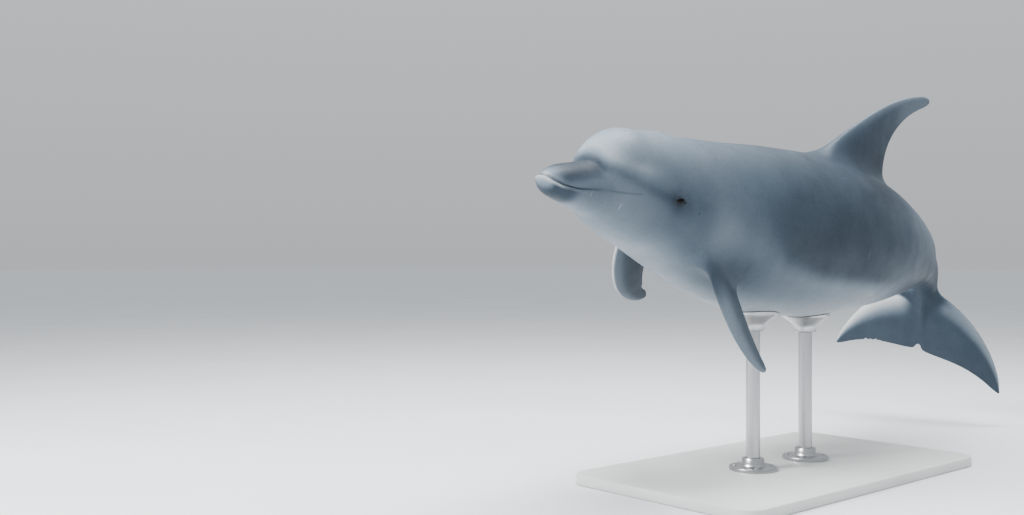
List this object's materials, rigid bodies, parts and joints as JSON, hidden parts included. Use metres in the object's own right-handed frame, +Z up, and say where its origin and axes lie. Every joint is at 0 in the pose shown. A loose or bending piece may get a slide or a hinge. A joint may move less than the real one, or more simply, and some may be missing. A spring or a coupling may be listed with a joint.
{
  "type": "dolphin model",
  "caption": "Life-size bottlenose dolphin model in a banking swim, mouth closed, held on short rods above a flat display base.",
  "frame": {"origin": "centre of the underside of the stand's base, where it rests on the floor", "axes": "+Z up, -Y the way the animal swims and looks, +X towards the animal's left side"},
  "size_m": [0.9228, 2.4453, 1.1634],
  "materials": {
    "skin": "smooth satin, damp-looking hairless skin, darker above and pale below",
    "eye": "polished, very dark brown",
    "base_paint": "satin pale grey paint",
    "stand_steel": "brushed, satin"
  },
  "bodies": {
    "root": {"lower_jaw": "skin", "upper_jaw": "skin", "head": "skin", "eye_left": "eye", "eye_right": "eye", "neck": "skin", "chest": "skin", "loin": "skin", "tail_stock": "skin", "peduncle": "skin", "dorsal_fin": "skin", "flipper_left": "skin", "flipper_right": "skin", "fluke_left": "skin", "fluke_right": "skin", "stand_base": "base_paint", "stand_rod_front": "stand_steel", "stand_flange_front": "stand_steel", "stand_cup_front": "stand_steel", "stand_rod_rear": "stand_steel", "stand_flange_rear": "stand_steel", "stand_cup_rear": "stand_steel"}
  },
  "joints": []
}
